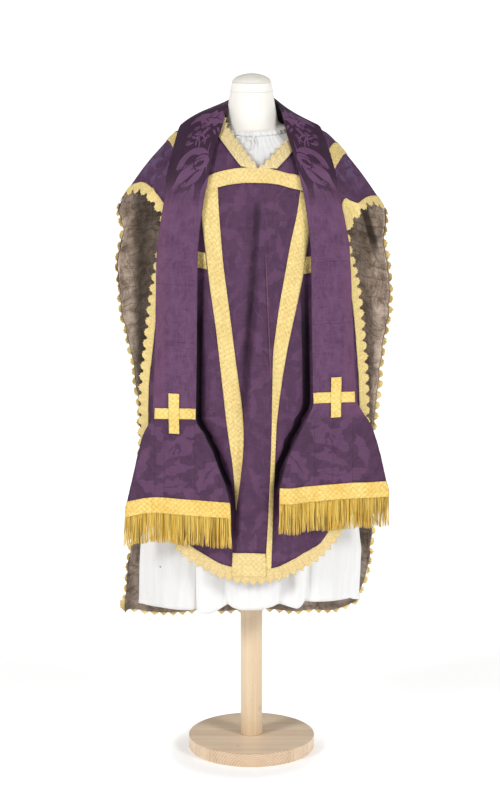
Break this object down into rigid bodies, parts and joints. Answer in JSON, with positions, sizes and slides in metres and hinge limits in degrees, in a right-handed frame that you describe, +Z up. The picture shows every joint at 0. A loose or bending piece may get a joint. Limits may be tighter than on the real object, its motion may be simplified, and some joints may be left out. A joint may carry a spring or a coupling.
{
  "type": "chasuble",
  "caption": "Roman chasuble with stole, worn by a dress form over a plain under-tunic: lined damask front and back panels trimmed with gold braid and lace, on a round wooden stand.",
  "frame": {"origin": "centre of the base's underside, on the floor", "axes": "+Z up along the pole, -Y the front of the garments, +X to the viewer's right when looking at the front"},
  "size_m": [0.596, 0.3405, 1.4858],
  "materials": {
    "beech": "clear matt varnish, glued beech staves in the base",
    "steel": "zinc-plated",
    "form_canvas": "matt off-white stretched canvas",
    "plywood": "raw birch plywood",
    "cotton": "plain white cotton, gathered at the neck",
    "damask": "purple silk damask with tone-on-tone scrolls and leaves",
    "linen": "coarse brown linen",
    "dark_lining": "plain dark purple lining",
    "galloon": "flat woven gold braid",
    "lace": "woven gold lace with a zigzag edge",
    "fringe": "twisted gold thread"
  },
  "bodies": {
    "stand": {"base_disc": "beech", "pole": "beech", "hanger_bolt": "steel"},
    "collar": {"clamp_collar": "steel"},
    "screw": {"clamp_screw": "steel"},
    "form": {"torso_shell": "form_canvas", "torso_board": "plywood", "guide_tube": "steel", "cap_band": "form_canvas", "neck_cap": "form_canvas"},
    "tunic": {"tunic_body": "cotton", "tunic_neckband": "cotton", "tunic_tie": "cotton"},
    "chasuble": {"front_damask": "damask", "front_lining": "linen", "back_damask": "damask", "back_lining": "linen", "neck_lace": "lace", "front_lace_left": "lace", "front_lace_right": "lace", "front_lace_hem": "lace", "back_lace_left": "lace", "back_lace_right": "lace", "back_lace_hem": "lace", "yoke_galloon": "galloon", "column_galloon_left": "galloon", "column_galloon_right": "galloon", "bottom_patch": "galloon", "side_galloon_left": "galloon", "side_galloon_right": "galloon", "shoulder_galloon_left": "galloon", "shoulder_galloon_right": "galloon", "back_column_left": "galloon", "back_column_right": "galloon", "back_yoke_galloon": "galloon"},
    "stole": {"stole_left_neck": "damask", "stole_left_neck_lining": "dark_lining", "stole_right_neck": "damask", "stole_right_neck_lining": "dark_lining"},
    "stole_left_end": {"stole_left_end": "damask", "stole_left_end_lining": "dark_lining", "stole_left_cross_bar": "galloon", "stole_left_cross_upright": "galloon", "stole_left_end_galloon": "galloon", "stole_left_fringe": "fringe"},
    "stole_right_end": {"stole_right_end": "damask", "stole_right_end_lining": "dark_lining", "stole_right_cross_bar": "galloon", "stole_right_cross_upright": "galloon", "stole_right_end_galloon": "galloon", "stole_right_fringe": "fringe"}
  },
  "joints": [
    {"name": "height_slide", "type": "slide", "parent": "stand", "child": "collar", "axis": [0, 0, 1], "range_m": [-0.2, 0.25]},
    {"name": "clamp_turn", "type": "hinge", "parent": "collar", "child": "screw", "pos_m": [0.04, 0, 0.6425], "axis": [1, 0, 0], "range_deg": [0, 360]},
    {"name": "form_swivel", "type": "hinge", "parent": "collar", "child": "form", "pos_m": [0, 0, 0.708], "axis": [0, 0, 1], "continuous": true},
    {"name": "tunic_lift", "type": "slide", "parent": "form", "child": "tunic", "axis": [0, 0, 1], "range_m": [0, 1.2]},
    {"name": "chasuble_lift", "type": "slide", "parent": "tunic", "child": "chasuble", "axis": [0, 0, 1], "range_m": [0, 1.25]},
    {"name": "stole_lift", "type": "slide", "parent": "chasuble", "child": "stole", "axis": [0, 0, 1], "range_m": [0, 1.05]},
    {"name": "stole_left_swing", "type": "hinge", "parent": "stole", "child": "stole_left_end", "pos_m": [-0.1574, -0.117, 1.1304], "axis": [-0.9438, 0.3305, 0], "range_deg": [0, 30]},
    {"name": "stole_right_swing", "type": "hinge", "parent": "stole", "child": "stole_right_end", "pos_m": [0.1654, -0.117, 1.1304], "axis": [-0.9438, -0.3305, 0], "range_deg": [0, 30]}
  ]
}
